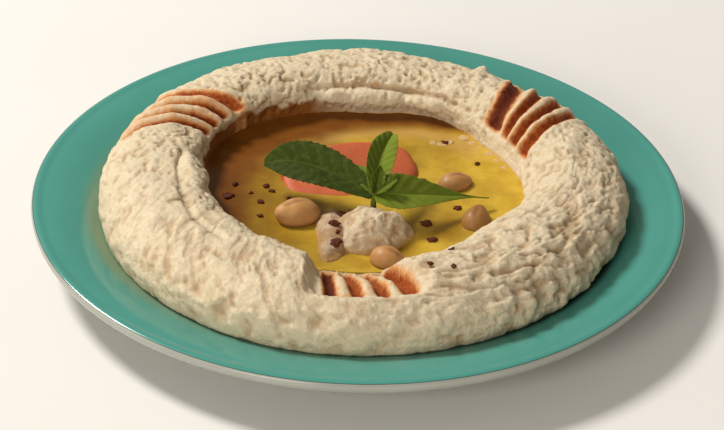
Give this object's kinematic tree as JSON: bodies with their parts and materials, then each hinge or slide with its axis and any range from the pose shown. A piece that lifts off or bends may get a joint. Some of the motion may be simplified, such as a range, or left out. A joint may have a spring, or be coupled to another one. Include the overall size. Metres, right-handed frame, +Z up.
{
  "type": "plate of hummus",
  "caption": "Plate with a ring of hummus round a pool of olive oil, garnished with chickpeas, tomato, mint and pepper flakes.",
  "frame": {"origin": "middle of the underside of the plate, on the surface that it stands on", "axes": "+Z up, -Y towards the eater, +X to the eater's right"},
  "size_m": [0.22, 0.22, 0.0368],
  "materials": {
    "plate": "turquoise melamine, glossy, with a white edge and underside",
    "hummus": "cream hummus, moist and grainy, with paprika in the pressed grooves",
    "oil": "golden green olive oil, clear and glossy",
    "tomato": "cut tomato flesh, wet, with a red skin behind",
    "mint": "fresh mint leaf, veined, slightly downy",
    "chickpea": "cooked chickpea, smooth and moist"
  },
  "bodies": {
    "root": {"plate": "plate", "hummus": "hummus", "oil": "oil", "dollop": "hummus", "tomato_wedge": "tomato", "mint_sprig": "mint", "chickpea_left": "chickpea", "chickpea_far": "chickpea", "chickpea_right": "chickpea", "chickpea_near": "chickpea"}
  },
  "joints": []
}
